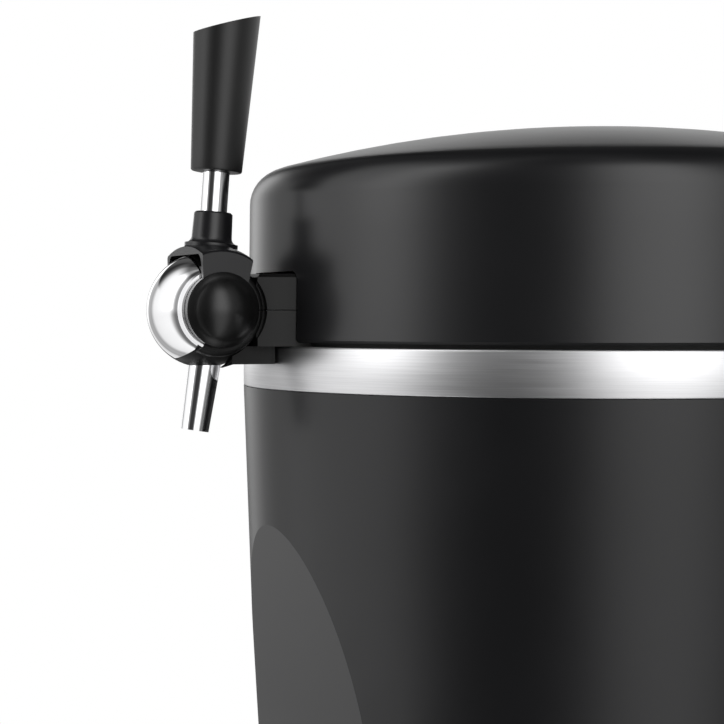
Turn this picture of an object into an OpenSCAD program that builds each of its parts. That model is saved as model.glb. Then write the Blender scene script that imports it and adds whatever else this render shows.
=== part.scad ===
// Counter-top draft beer dispenser for a small party keg.
// The drum axis is upright, the tap points along minus Y, and X = 0 is the mirror plane.

/* [Drum] */
// Radius of the drum at its trim band
drum_r = 140; // [132:1:160]
// Height of the drum's top edge above the table
drum_top = 271.8; // [266:0.1:290]
// Angle at which the drum narrows downwards
drum_taper = 2; // [0:0.1:3]
// Wall of the outer shell
shell_wall = 3; // [2:0.1:3.5]
// Height of the feet
foot_h = 4; // [3:0.1:8]
// Radius of a foot
foot_r = 10; // [7:0.5:13]
// Thickness of the base plate
base_t = 4; // [3:0.1:5]
// Height of the upright rim of the base plate inside the shell
base_rim_h = 4; // [3:0.1:6]
// Thickness of that rim
base_rim_t = 2.4; // [1.6:0.1:2.6]
// Thickness of the ledge inside the shell that carries the chamber rim
ledge_t = 3.5; // [2:0.1:5]
// Height of that ledge
ledge_h = 7; // [4:0.5:10]

/* [Trim band] */
// Height of the brushed trim band
band_h = 16.5; // [12:0.1:20]
// Thickness of the trim band
band_wall = 1.2; // [0.8:0.1:1.6]
// Width of the band's inward flange on top of the drum
band_flange = 4.2; // [3:0.1:5]
// Rounding of the band's edges
band_round = 0.8; // [0.3:0.1:1]

/* [Front niche] */
// Height above the table at which the niche starts to curve forward, as a share of the drum's height
niche_knee_share = 0.47829; // [0.405:0.001:0.515]
// Radius of that curve, which runs out through the drum at the arch's apex
niche_curve_r = 440; // [380:5:500]
// How far the niche's foot lies behind the drum's largest radius, as a share of the drum's radius
niche_depth_share = 0.208; // [0.143:0.001:0.229]
// Height above the table at which that depth is measured, as a share of the drum's height
niche_foot_share = 0.11038; // [0.074:0.001:0.147]
// Angle at which the flat part of the niche leans forward
niche_lean = 6.85; // [4:0.05:8]

/* [Lid] */
// Gap between the lid and the trim band
lid_gap = 1.5; // [1:0.1:2.5]
// How much smaller than the band the lid is
lid_inset = 1.9; // [1:0.1:3]
// Draft of the lid's wall over its height
lid_draft = 0.7; // [0:0.1:2]
// Height of the lid's upright wall
lid_wall_h = 54.1; // [46:0.1:60]
// Radius of the lid's shoulder
lid_shoulder = 14; // [13:0.5:20]
// Radius of the lid's dome, as a share of the drum's radius
dome_r_share = 3.47; // [3.1:0.001:4.2]
// Wall of the lid's shell
lid_wall = 2.8; // [2:0.1:3.5]
// Thickness of the lid's insulation
lid_foam_t = 6; // [4:0.5:8]
// Wall of the lid's liner
liner_wall = 1.8; // [1.2:0.1:2.4]
// Chamfer along the lid's lower edge
lid_chamfer = 1; // [0.4:0.1:1.5]
// Width of the lid's rubber seal
seal_w = 4; // [3:0.5:6]
// Clearance between the arm and the cut-out in the lid
slot_clear = 1; // [0.6:0.1:2]
// Corner radius of the cut-out
slot_corner = 4; // [2:0.5:7]

/* [Hinge] */
// How far the hinge axis lies behind the trim band
hinge_out = 8; // [7.5:0.1:10]
// Radius of the hinge knuckles
knuckle_r = 6; // [5:0.1:6.4]
// Radius of the hinge pin
hinge_pin_r = 2.5; // [2:0.1:3]
// Length of the middle knuckle, which turns with the lid
knuckle_mid = 40; // [30:1:60]
// Length of each outer knuckle
knuckle_side = 10; // [8:1:15]
// Height of the hinge bracket's plate on the drum
bracket_h = 34; // [26:1:45]
// Height of the hinge leaf on the lid
leaf_h = 20; // [14:1:26]

/* [Keg chamber] */
// Radius of the keg that the chamber takes, as a share of the drum's radius
keg_r_share = 0.61071; // [0.571:0.001:0.614]
// Height of that keg, as a share of the drum's height
keg_h_share = 0.91979; // [0.883:0.001:0.927]
// Gap all round the keg
keg_gap = 2.5; // [2:0.1:4]
// Height left free above the keg, up to the drum's top edge
keg_head = 3.8; // [3:0.1:6]
// How far the chamber's axis lies in front of the drum's axis, as a share of the drum's radius
keg_forward_share = 0.08571; // [0.057:0.001:0.093]
// Wall of the aluminium chamber
chamber_wall = 1.5; // [1:0.1:2]
// Width of the chamber's flange
chamber_flange = 10; // [6:1:14]
// Thickness of the deck ring on top of the chamber
deck_t = 4; // [3:0.1:5]
// Radius of the middle of the rubber pad under the keg, as a share of the drum's radius
pad_r_share = 0.47143; // [0.357:0.001:0.536]
// Width of that pad
pad_w = 9; // [6:0.5:12]
// Thickness of that pad
pad_t = 2; // [1:0.1:3]

/* [Cooling] */
// Distance from the chamber's wall to the partition behind it, as a share of the drum's radius
bay_gap_share = 0.051; // [0.050:0.001:0.064]
// Thickness of the partition
partition_t = 2; // [1.6:0.1:3]
// Height of the fan's axis above the table, as a share of the drum's height
fan_z_share = 0.55188; // [0.478:0.001:0.607]
// Side of the square cold block, as a share of the drum's radius
cold_side_share = 0.35714; // [0.314:0.001:0.400]
// Side of the thermoelectric module, as a share of the drum's radius
module_side_share = 0.28571; // [0.257:0.001:0.300]
// Side of the square heat sink, as a share of the drum's radius
sink_side_share = 0.54286; // [0.514:0.001:0.600]
// Thickness of the heat sink's base
sink_base = 3.6; // [3:0.1:5]
// Height of the heat sink's fins, as a share of the drum's radius
fin_h_share = 0.10714; // [0.071:0.001:0.114]
// Thickness of a fin
fin_t = 1.4; // [1:0.1:2]
// Number of fins
fin_count = 14; // [8:1:16]
// Side of the square fan, as a share of the drum's radius
fan_side_share = 0.5; // [0.429:0.001:0.514]
// Depth of the fan, as a share of the drum's radius
fan_depth_share = 0.10714; // [0.086:0.001:0.114]
// Radius of the fan's duct, as a share of the drum's radius
duct_r_share = 0.23214; // [0.186:0.001:0.236]
// Radius of the fan's hub, as a share of the drum's radius
fan_hub_r_share = 0.08571; // [0.071:0.001:0.107]
// Number of fan blades
blade_count = 7; // [5:1:9]
// Pitch angle of the blades
blade_pitch = 38; // [25:1:45]

/* [Rear] */
// Width of the rear grille, as a share of the drum's radius
grille_w_share = 0.6; // [0.543:0.001:0.657]
// Height of the rear grille, as a share of the drum's height
grille_h_share = 0.32377; // [0.287:0.001:0.353]
// Width of a slot in the rear grille
vent_w = 3.4; // [2.5:0.1:4]
// Number of slots in the rear grille
vent_count = 11; // [7:1:12]
// Width of the recessed service panel, as a share of the drum's radius
service_w_share = 0.62857; // [0.571:0.001:0.671]
// Height of the service panel
service_h = 46; // [42:1:48]
// Height of the service panel's lower edge above the table, as a share of the drum's height
service_low_share = 0.13245; // [0.125:0.001:0.147]
// How far the service panel's face lies inside the drum's largest radius, as a share of the drum's radius
service_depth_share = 0.13571; // [0.129:0.001:0.143]
// Thickness of the service panel
service_t = 2.5; // [2:0.1:3]

/* [Tap] */
// How far the lever's pivot lies in front of the trim band
tap_out = 24.2; // [23.5:0.1:30]
// Height of the pivot above the drum's top edge
tap_rise = 13.5; // [13.3:0.1:16]
// Radius of the tap head's ball
head_r = 21.4; // [21:0.1:21.6]
// Half of the tap head's width
head_half = 18.3; // [18:0.1:18.9]
// Radius of the neck on each side of the ball
neck_r = 17.1; // [16:0.1:17.6]
// Wall of the tap head and arm
tap_wall = 2.4; // [1.8:0.1:2.8]
// Outer radius of the ring on each side of the head
lip_out = 15.2; // [14.8:0.1:15.8]
// Width of that ring
lip_w = 1.2; // [0.9:0.1:1.5]
// Height of that ring
lip_h = 0.7; // [0.5:0.1:1]
// Width and depth of the groove between each neck and the arm
groove_t = 0.8; // [0.4:0.1:1.2]
// How far in front of the pivot the chromed shell starts
chrome_front = 6.6; // [6:0.1:9]
// Height below the pivot at which the chromed shell's lower edge turns forward
chrome_low = 13; // [11:0.1:15]
// Angle at which that edge runs down and forward
chrome_slant = 43; // [35:1:50]
// Width of the parting lines between the tap's shells
parting = 0.3; // [0.2:0.05:0.5]
// Half of the arm's width at the head
arm_half = 18.3; // [18:0.1:20.4]
// Half of the arm's width inside the lid
arm_root = 22; // [21:0.1:23]
// Height of the arm above the pivot
arm_up = 13.4; // [12.5:0.1:14]
// Bevel along the arm's upper edge
arm_bevel = 1.3; // [0.6:0.1:2]
// Clearance between the arm and the deck ring below it
arm_seat = 0.4; // [0.3:0.05:0.6]
// Half of the support's width
support_half = 11.5; // [9:0.1:14]
// Height of the support
support_h = 6.7; // [5:0.1:9]

/* [Lever] */
// Inner radius of the yoke's hood
hood_in = 21.8; // [21.7:0.1:22.4]
// Thickness of the hood
hood_t = 3; // [2.5:0.1:3.5]
// How much lower the hood is at its sides than in its middle
hood_crown = 3; // [2:0.1:4]
// Clearance between the yoke and the rings on the head
yoke_clear = 0.4; // [0.3:0.05:0.5]
// Thickness of the yoke's side plates
plate_t = 2; // [1.6:0.1:2.4]
// Rounding inside the hood's corners
hood_round = 4; // [3:0.1:5]
// Radius of the yoke's hub round the journal
hub_r = 8; // [6:0.1:9]
// Radius of the side caps
cap_r = 13.8; // [12:0.1:13.9]
// How far the side caps bulge
cap_bulge = 8; // [6:0.1:9]
// Outer diameter of the lever's stem
stem_d = 10.1; // [8:0.1:11]
// How far behind the pivot the stem's axis passes
stem_back = 1; // [0:0.1:2]
// Angle at which the stem leans back
stem_lean = 4.3; // [0:0.1:5]
// Outer diameter of the collar at its top
collar_d = 14.4; // [12.5:0.1:16]
// Distance from the pivot to the collar's top
collar_top = 36.6; // [33:0.1:38]
// Distance from the pivot to the handle's lower end
handle_low = 51.7; // [46:0.1:56]
// Height of the handle in its middle
handle_h = 55.3; // [48:0.1:64]
// Angle at which the handle's top slopes up towards the rear
handle_slope = 19; // [5:0.5:25]
// Radius of the handle's lower end
handle_r = 9.6; // [8.5:0.1:11]
// Radius of the handle's upper end
handle_top_r = 12.3; // [10.5:0.1:14]
// Rounding of the handle's lower edge
handle_round = 0.8; // [0.3:0.1:1.5]

/* [Valve and spout] */
// Radius of the rotary plug
plug_r = 9; // [8:0.1:10]
// Half of the plug's length
plug_half = 11; // [9:0.1:12]
// Radius of the plug's journals
journal_r = 4; // [3:0.1:5]
// Radius of the beer channel
channel_r = 2.8; // [2:0.1:2.9]
// Running clearance of the plug and its journals
run_clear = 0.05; // [0.02:0.01:0.09]
// Outer radius of the valve body
valve_r = 12.5; // [11.5:0.1:13.5]
// Angle by which the lever opens the valve
open_angle = 40; // [38:1:45]
// Outer diameter of the spout at the head
spout_d = 11.9; // [10:0.1:12.4]
// Outer diameter of the spout at its end
spout_end_d = 10.4; // [9:0.1:11]
// Bore of the spout
spout_bore = 7.6; // [6:0.1:8]
// Distance from the pivot to the spout's end, along the spout
spout_reach = 45.4; // [38:0.1:55]
// Angle at which the spout leans forward
spout_lean = 9; // [0:0.5:15]
// Where the spout's axis passes behind the pivot
spout_back = 3.3; // [0:0.1:4]

/* [Tray] */
// Half of the tray's width, as a share of the drum's radius
tray_half_share = 0.49286; // [0.357:0.001:0.500]
// How far the tray reaches in front of the trim band
tray_out = 75; // [60:1:90]
// Height of the tray's rim above the table
tray_top = 27.5; // [22:0.5:32]
// Wall of the tray
tray_wall = 2.2; // [1.6:0.1:3]
// Gap between the tray and the niche behind it
tray_gap = 1; // [0.6:0.1:2]
// Thickness of the drip grille
drip_t = 2.4; // [1.6:0.1:3]
// Distance between the rows of slots in the drip grille
drip_pitch = 8; // [7:0.5:12]
// Width of a slot in the drip grille
drip_slot = 4; // [3:0.1:5]

/* [Hidden] */
$fn = 96;
// Steps in a quarter turn of an outline's arc
arc_n = 8;
// Steps in the niche's curve and in the dome
curve_n = 10;
// Overrun of all cuts
over = 1;
// Gap between pieces that seat on each other
fit = 0.3;
// Width of a thin slice at the end of a lofted shape
skin = 0.05;

// Sizes that keep their share of the drum
keg_radius = drum_r * keg_r_share;
keg_height = drum_top * keg_h_share;
keg_shift = drum_r * keg_forward_share;
bay_space = drum_r * bay_gap_share;
fan_up = drum_top * fan_z_share;
cold_width = drum_r * cold_side_share;
module_width = drum_r * module_side_share;
sink_width = drum_r * sink_side_share;
fin_depth = drum_r * fin_h_share;
fan_width = drum_r * fan_side_share;
fan_deep = drum_r * fan_depth_share;
duct_radius = drum_r * duct_r_share;
hub_radius = drum_r * fan_hub_r_share;
vent_width = drum_r * grille_w_share;
vent_height = drum_top * grille_h_share;
panel_width = drum_r * service_w_share;
panel_low = drum_top * service_low_share;
panel_depth = drum_r * service_depth_share;
niche_deep = drum_r * niche_depth_share;
knee_up = drum_top * niche_knee_share;
niche_low = drum_top * niche_foot_share;
tray_side = drum_r * tray_half_share;
pad_radius = drum_r * pad_r_share;
dome_radius = drum_r * dome_r_share;

// Heights and radii that follow from the driving sizes
shell_foot = foot_h + base_t;
band_low = drum_top - band_h;
shell_top = drum_top - band_wall;
shell_top_r = drum_r - band_wall;
deck_top = drum_top - fit;
deck_low = deck_top - deck_t;
deck_r = shell_top_r - shell_wall - fit;
ledge_top = deck_low - fit;
chamber_r = keg_radius + keg_gap;
chamber_out = chamber_r + chamber_wall;
chamber_floor = drum_top - keg_head - keg_height;
chamber_top = ledge_top;
foam_low = shell_foot + base_rim_h + fit;
foam_top = ledge_top - ledge_h - fit;
keg_y = -keg_shift;

// Places of the rear bay, counted along plus Y from the drum's axis
cold_y = keg_y + chamber_out;
bay_y = cold_y + bay_space;
sink_y = bay_y + partition_t + fit;
fan_y = sink_y + sink_base + fin_depth;
service_y = drum_r - panel_depth;

// Lid
lid_low = drum_top + lid_gap;
lid_r = drum_r - lid_inset;
lid_top_r = lid_r - lid_draft;
shoulder_r = lid_top_r - lid_shoulder;
shoulder_z = lid_low + lid_wall_h;
dome_z = shoulder_z - sqrt(pow(dome_radius - lid_shoulder, 2) - pow(shoulder_r, 2));
shoulder_turn = atan2(shoulder_z - dome_z, shoulder_r);
foam_in = lid_wall + fit;
liner_in = foam_in + lid_foam_t + fit;
liner_low = lid_low + lid_chamfer * 2;
hinge_y = drum_r + hinge_out;
hinge_z = drum_top;

// Tap and lever, about the lever's pivot
tap_y = -drum_r - tap_out;
tap_z = drum_top + tap_rise;
chrome_foot = (chrome_front - head_r - over) * tan(chrome_slant) - chrome_low;
lip_top = head_half + lip_h;
plate_in = lip_top + yoke_clear;
plate_out = plate_in + plate_t;
hood_out = hood_in + hood_t;
cavity_half = head_half - tap_wall;
neck_in = neck_r - tap_wall;
arm_down = tap_rise - arm_seat + fit;
arm_start = head_r * 0.68;
arm_end_y = keg_y - tap_y;
arm_lid_y = tap_out + lid_inset;
support_back = tap_out - fit;
support_front = head_r * 0.33;
journal_half = plate_out + cap_bulge / 3;
slot_half = arm_root + slot_clear;
slot_top = tap_z + arm_up + slot_clear;

// Tray and base
tray_z = shell_foot + fit;
tray_back = drum_r - niche_deep + tray_gap;
tray_arc_y = drum_r + tray_out - tray_side;
drip_low = tray_top - drip_t - fit;
front_reach = drum_r + tray_out;
rear_reach = hinge_y + knuckle_r;
axis_y = (front_reach - rear_reach) / 2;

// Sizes of small pieces
screw_r = 1.5;
screw_head_r = 3;
screw_head_h = 1.8;
base_screw_h = 14;
boss_r = 4.5;
boss_h = 16;
screw_gap = 0.1;
socket_share = 0.5;
tube_r = 4;
tube_bore = 2.4;
coupler_r = 13;
coupler_nozzle_r = 6;
coupler_nozzle_h = 18;
o_ring = 0.9;
fan_shaft_r = 1.5;
fan_wall = 1.6;
board_w = drum_r * 0.6;
board_h = 42;
board_t = 1.6;
board_post_r = 3;
board_post_h = 4;
supply_w = drum_r * 0.657;
supply_h = 20;
supply_d = drum_r * 0.186;
supply_foot_h = 1.4;
inlet_w = 27.6;
inlet_h = 20.4;
inlet_flange = 3;
inlet_depth = drum_r * 0.121;
inlet_wall = 1.6;
inlet_pin_w = 2;
inlet_pin_h = 4;
inlet_pin_pitch = 7;
switch_w = 14;
switch_h = 22;
switch_flange = 2;
switch_wall = 1.4;
switch_depth = 15;
switch_tilt = 7;
switch_clear = 0.4;
flange_t = 1.6;
service_pitch = drum_r * 0.3;
rest_h = 1.6;

// Places of the board, the service panel and the switch
board_z = fan_up + sink_width / 2 + board_h / 2 + board_post_r * 2;
service_z = panel_low + service_h / 2;
service_face = service_y + service_t - over;
switch_axis_y = service_face - switch_clear;

// Points along an arc from angle a to angle b
function arc(c, r, a, b, n = arc_n) = [for (i = [0 : n])
    c + r * [cos(a + (b - a) * i / n), sin(a + (b - a) * i / n)]];
// Outer radius of the drum at height z
function drum_at(z) = drum_r - max(0, band_low - z) * tan(drum_taper);
// Distance of the niche's flat part in front of the drum's axis at height z
function niche_at(z) = drum_r - niche_deep + (z - niche_low) * tan(niche_lean);
// Half of the tray outline's chord at distance y in front of the drum's axis
function tray_chord(y, inset) = y < tray_arc_y ? tray_side - inset
    : sqrt(max(0, pow(tray_side - inset, 2) - pow(y - tray_arc_y, 2)));

module at_axis() {
    translate([0, axis_y, 0]) children();
}

module at_keg() {
    translate([0, axis_y + keg_y, 0]) children();
}

module at_pivot() {
    translate([0, axis_y + tap_y, tap_z]) children();
}

module at_hinge() {
    translate([0, axis_y + hinge_y, hinge_z]) children();
}

// Turns an outline in Y and Z into a solid along X
module along_x(half) {
    rotate([90, 0, 90]) translate([0, 0, -half]) linear_extrude(2 * half) children();
}

// Turns an outline in X and Z into a solid along plus Y
module along_y(y0, y1) {
    translate([0, y1, 0]) rotate([90, 0, 0]) linear_extrude(y1 - y0) children();
}

// A block centred on X, between two places in Y and in Z
module block(half, y0, y1, z0, z1) {
    translate([-half, y0, z0]) cube([2 * half, y1 - y0, z1 - z0]);
}

// A cylinder along X, centred on the pivot
module roller(r, half) {
    rotate([0, 90, 0]) cylinder(r = r, h = 2 * half, center = true);
}

module tube(r, bore, h) {
    difference() {
        cylinder(r = r, h = h);
        translate([0, 0, -over]) cylinder(r = bore, h = h + 2 * over);
    }
}

// Drum

// The drum's outer form, moved inwards by inset, from z0 to z1
module drum_form(inset, z0, z1) {
    rotate_extrude() polygon(concat([[0, z0], [drum_at(z0) - inset, z0]],
        z1 > band_low && z0 < band_low ? [[drum_r - inset, band_low]] : [],
        [[drum_at(z1) - inset, z1], [0, z1]]));
}

// What the front niche takes away, moved inwards by inset
module niche_form(inset) {
    translate([0, inset, 0]) along_x(drum_r) {
        polygon([[-drum_r * 2, -over], [-niche_at(-over), -over], [-niche_at(knee_up), knee_up],
            [-drum_r * 2, knee_up]]);
        translate([-niche_at(knee_up) - niche_curve_r * cos(niche_lean),
            knee_up - niche_curve_r * sin(niche_lean)]) circle(r = niche_curve_r, $fn = 360);
    }
}

// The drum with its niche, moved inwards by inset
module body_form(inset, z0, z1) {
    difference() {
        drum_form(inset, z0, z1);
        niche_form(inset);
    }
}

module service_window(grow) {
    block(panel_width / 2 + grow, service_y - over, drum_r + over,
        panel_low - grow, panel_low + service_h + grow);
}

module grille_window(grow) {
    block(vent_width / 2 + grow, drum_r * 0.6, drum_r + over,
        fan_up - vent_height / 2 - grow, fan_up + vent_height / 2 + grow);
}

module outer_shell() {
    color("#1b1b1d") at_axis() difference() {
        union() {
            body_form(0, shell_foot, band_low);
            body_form(band_wall + fit, band_low - over, shell_top - fit);
        }
        difference() {
            body_form(shell_wall, shell_foot - over, ledge_top - ledge_h);
            base_screw_places() translate([0, 0, shell_foot]) cylinder(r = boss_r, h = boss_h);
        }
        base_screw_places() translate([0, 0, shell_foot - over]) cylinder(r = screw_r + skin, h = boss_h);
        translate([0, 0, ledge_top - ledge_h - over])
            cylinder(r = deck_r - ledge_t, h = ledge_h + 2 * over);
        translate([0, 0, ledge_top]) cylinder(r = deck_r + fit, h = band_h);
        service_window(fit);
        grille_window(fit);
    }
}

module trim_band() {
    color("#b9bbbd") at_axis() rotate_extrude() polygon(concat(
        [[drum_r - band_wall, band_low]],
        arc([drum_r - band_round, band_low + band_round], band_round, -90, 0, 3),
        arc([drum_r - band_round, drum_top - band_round], band_round, 0, 90, 3),
        [[drum_r - band_flange, drum_top], [drum_r - band_flange, drum_top - band_wall],
            [drum_r - band_wall, drum_top - band_wall]]));
}

// Outline of the tray, moved inwards by inset, with its rear edge at back
module tray_outline(inset, back) {
    difference() {
        union() {
            translate([0, -tray_arc_y]) circle(r = tray_side - inset);
            translate([inset - tray_side, -tray_arc_y])
                square([2 * (tray_side - inset), tray_arc_y]);
        }
        translate([-drum_r, -back]) square([2 * drum_r, drum_r * 2]);
    }
}

module base_plate() {
    color("#1b1b1d") at_axis() difference() {
        union() {
            translate([0, 0, foot_h]) cylinder(r = drum_at(shell_foot), h = base_t);
            translate([0, 0, foot_h]) linear_extrude(base_t) tray_outline(0, 0);
            difference() {
                body_form(shell_wall + fit, shell_foot - over, shell_foot + base_rim_h);
                body_form(shell_wall + fit + base_rim_t, shell_foot - over, shell_foot + base_rim_h + over);
                boss_space(shell_foot, shell_foot + boss_h);
            }
        }
        base_screw_places() translate([0, 0, foot_h - over])
            cylinder(r = screw_r + screw_gap, h = base_t + base_rim_h + 2 * over);
        base_screw_places() translate([0, 0, foot_h - over])
            cylinder(r = screw_head_r + screw_gap, h = screw_head_h + over);
    }
}

// The screws go up through the base plate into bosses inside the shell
module base_screw_places() {
    for (a = [-1, 1], b = [0, 180]) rotate([0, 0, b + a * 32])
        translate([drum_at(shell_foot) - shell_wall - boss_r * 0.8, 0, 0]) children();
}

module boss_space(z0, z1) {
    base_screw_places() translate([0, 0, z0]) cylinder(r = boss_r + fit, h = z1 - z0);
}

module base_screws() {
    color("#8c8f92") at_axis() base_screw_places() translate([0, 0, foot_h]) {
        cylinder(r = screw_head_r, h = screw_head_h);
        cylinder(r = screw_r, h = base_screw_h);
    }
}

module feet() {
    rear = drum_r * 0.58;
    front = front_reach - tray_side * 0.6;
    color("#202020") at_axis() for (side = [-1, 1]) {
        translate([side * rear, rear, 0]) foot();
        translate([side * tray_side * 0.62, -front, 0]) foot();
    }
}

module foot() {
    edge = foot_h / 4;
    rotate_extrude() polygon([[0, 0], [foot_r - edge, 0], [foot_r, edge], [foot_r, foot_h], [0, foot_h]]);
}

module drip_tray() {
    ledge_z = drip_low - fit;
    color("#1b1b1d") at_axis() difference() {
        translate([0, 0, tray_z]) linear_extrude(tray_top - tray_z) tray_outline(0, tray_back);
        translate([0, 0, tray_z + tray_wall]) linear_extrude(ledge_z - tray_z)
            tray_outline(tray_wall * 2, tray_back + tray_wall * 2);
        translate([0, 0, ledge_z]) linear_extrude(tray_top)
            tray_outline(tray_wall, tray_back + tray_wall);
    }
}

module drip_grille() {
    inset = tray_wall + fit;
    back = tray_back + inset;
    margin = drip_slot * 1.4;
    rows = floor((front_reach - inset - margin - back) / drip_pitch);
    color("#c9cbcd") at_axis() translate([0, 0, drip_low]) difference() {
        linear_extrude(drip_t) tray_outline(inset, back);
        for (i = [0 : rows - 1]) {
            y = back + margin + drip_slot / 2 + i * drip_pitch;
            reach = tray_chord(y + drip_slot / 2, inset) - margin;
            if (reach > margin * 2) for (side = [-1, 1])
                translate([side * (reach + margin / 2) / 2, -y, -over])
                slot(reach - margin / 2, drip_slot, drip_t + 2 * over);
        }
    }
}

// A slot with round ends, along X and centred
module slot(length, width, h) {
    translate([-(length - width) / 2, -width / 2, 0]) cube([length - width, width, h]);
    for (side = [-1, 1]) translate([side * (length - width) / 2, 0, 0])
        cylinder(r = width / 2, h = h, $fn = 24);
}

// Keg chamber

module keg_chamber() {
    color("#c4c7ca") at_keg() rotate_extrude() polygon(concat(
        [[0, chamber_floor - chamber_wall]],
        arc([chamber_out - keg_gap * 2, chamber_floor - chamber_wall + keg_gap * 2], keg_gap * 2, -90, 0,
            4),
        [[chamber_out, chamber_top - chamber_wall],
            [chamber_out + chamber_flange, chamber_top - chamber_wall],
            [chamber_out + chamber_flange, chamber_top], [chamber_r, chamber_top]],
        arc([chamber_r - keg_gap * 2 + chamber_wall, chamber_floor + keg_gap * 2 - chamber_wall],
            keg_gap * 2 - chamber_wall, 0, -90, 4),
        [[0, chamber_floor]]));
}

module keg_pad() {
    color("#303030") at_keg() translate([0, 0, chamber_floor])
        tube(pad_radius + pad_w / 2, pad_radius - pad_w / 2, pad_t);
}

module chamber_rim() {
    color("#242426") at_axis() difference() {
        translate([0, 0, deck_low]) cylinder(r = deck_r, h = deck_t);
        translate([0, keg_y, deck_low - over]) cylinder(r = chamber_r, h = deck_t + 2 * over);
    }
}

module chamber_foam() {
    inset = shell_wall + fit * 2 + base_rim_t;
    color("#e6e2d2") at_axis() difference() {
        body_form(inset, foam_low, foam_top);
        translate([0, keg_y, chamber_floor - chamber_wall - fit])
            cylinder(r = chamber_out + fit, h = keg_height);
        block(drum_r, bay_y - fit, drum_r, 0, drum_top);
        boss_space(shell_foot, shell_foot + boss_h + fit);
        block(cold_width / 2 + fit, 0, drum_r, fan_up - cold_width / 2 - fit,
            fan_up + cold_width / 2 + fit);
    }
}

// Cooling and electrics in the rear bay

module rear_partition() {
    window = cold_width / 2 - rest_h;
    color("#d8d8d4") at_axis() {
        difference() {
            intersection() {
                body_form(shell_wall + fit * 2 + base_rim_t, shell_foot + fit, foam_top);
                block(drum_r, bay_y, bay_y + partition_t, 0, drum_top);
            }
            block(window, 0, drum_r, fan_up - window, fan_up + window);
        }
        board_places() translate([0, bay_y + partition_t - fit, 0]) rotate([-90, 0, 0])
            cylinder(r = board_post_r, h = board_post_h + fit, $fn = 32);
    }
}

module board_places() {
    for (x = [-1, 1], z = [-1, 1])
        translate([x * (board_w / 2 - board_post_r * 1.5), 0,
            board_z + z * (board_h / 2 - board_post_r * 1.5)])
            children();
}

module cold_block() {
    color("#b8bbbe") at_axis() difference() {
        block(cold_width / 2, cold_y - chamber_out / 8, bay_y - fit, fan_up - cold_width / 2,
            fan_up + cold_width / 2);
        translate([0, keg_y, 0]) cylinder(r = chamber_out + screw_gap, h = drum_top);
    }
}

module cooling_module() {
    color("#f0f0ee") at_axis() block(module_width / 2, bay_y - fit, sink_y - screw_gap,
        fan_up - module_width / 2, fan_up + module_width / 2);
}

module heat_sink() {
    pitch = (sink_width - fin_t) / (fin_count - 1);
    color("#9da1a5") at_axis() {
        block(sink_width / 2, sink_y, sink_y + sink_base, fan_up - sink_width / 2, fan_up + sink_width / 2);
        for (i = [0 : fin_count - 1]) translate([i * pitch - (sink_width - fin_t) / 2, 0, 0])
            block(fin_t / 2, sink_y + sink_base - fit, fan_y, fan_up - sink_width / 2,
                fan_up + sink_width / 2);
    }
}

module fan_place() {
    translate([0, axis_y + fan_y + fit, fan_up]) rotate([-90, 0, 0]) children();
}

module fan_corners() {
    for (a = [45 : 90 : 315]) rotate([0, 0, a]) translate([(fan_width / 2 - screw_head_r - screw_gap * 2)
        * sqrt(2), 0, 0])
        children();
}

module fan_frame() {
    color("#26262a") fan_place() difference() {
        union() {
            difference() {
                translate([-fan_width / 2, -fan_width / 2, 0]) cube([fan_width, fan_width, fan_deep]);
                translate([0, 0, -over]) cylinder(r = duct_radius, h = fan_deep + 2 * over);
            }
            translate([0, 0, fan_deep - fan_wall]) cylinder(r = hub_radius, h = fan_wall);
            for (a = [0 : 90 : 270]) rotate([0, 0, a + 15])
                translate([0, -fan_wall, fan_deep - fan_wall])
                    cube([duct_radius + over, fan_wall * 2, fan_wall]);
            translate([0, 0, fan_deep / 2]) cylinder(r = fan_shaft_r * 2, h = fan_deep / 2);
        }
        translate([0, 0, -over]) cylinder(r = fan_shaft_r + run_clear, h = fan_deep + 2 * over);
        fan_corners() translate([0, 0, -over]) cylinder(r = screw_r + screw_gap, h = fan_deep + 2 * over,
            $fn = 32);
    }
}

module fan_rotor() {
    hub_top = fan_deep - fan_wall - fan_wall;
    inner = hub_radius - fan_wall;
    color("#303036") fan_place() {
        difference() {
            union() {
                translate([0, 0, fan_wall / 2]) cylinder(r = hub_radius, h = hub_top - fan_wall / 2);
                intersection() {
                    for (i = [0 : blade_count - 1]) rotate([0, 0, i * 360 / blade_count])
                        translate([(hub_radius + duct_radius) / 2, 0, hub_top / 2 + fan_wall / 2])
                            rotate([blade_pitch, 0, 0])
                            cube([duct_radius - hub_radius + fan_wall, fan_deep, fan_wall], center = true);
                    translate([0, 0, fan_wall]) tube(duct_radius - fan_wall, hub_radius - fan_wall / 2,
                        hub_top - fan_wall);
                }
            }
            translate([0, 0, fan_wall * 1.5]) tube(inner, fan_shaft_r, fan_deep);
        }
        cylinder(r = fan_shaft_r, h = fan_deep - fan_wall / 4);
    }
}

module fan_screws() {
    color("#8c8f92") fan_place() fan_corners() {
        translate([0, 0, fan_deep]) cylinder(r = screw_head_r, h = screw_head_h, $fn = 32);
        cylinder(r = screw_r, h = fan_deep + skin, $fn = 32);
    }
}

module power_supply() {
    y0 = bay_y + partition_t + fit;
    z0 = shell_foot + base_rim_h;
    color("#a9adb0") at_axis() {
        block(supply_w / 2, y0, y0 + supply_d, z0 + supply_foot_h, z0 + supply_h);
        for (side = [-1, 1]) translate([side * (supply_w / 2 - supply_foot_h * 4), 0, 0])
            block(supply_foot_h * 2, y0, y0 + supply_d * 0.8, shell_foot, z0 + supply_foot_h * 2);
        translate([supply_w / 4, y0 + supply_d / 2, z0 + supply_h - skin])
            cylinder(r = supply_foot_h * 4, h = supply_foot_h * 1.5);
    }
}

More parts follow.
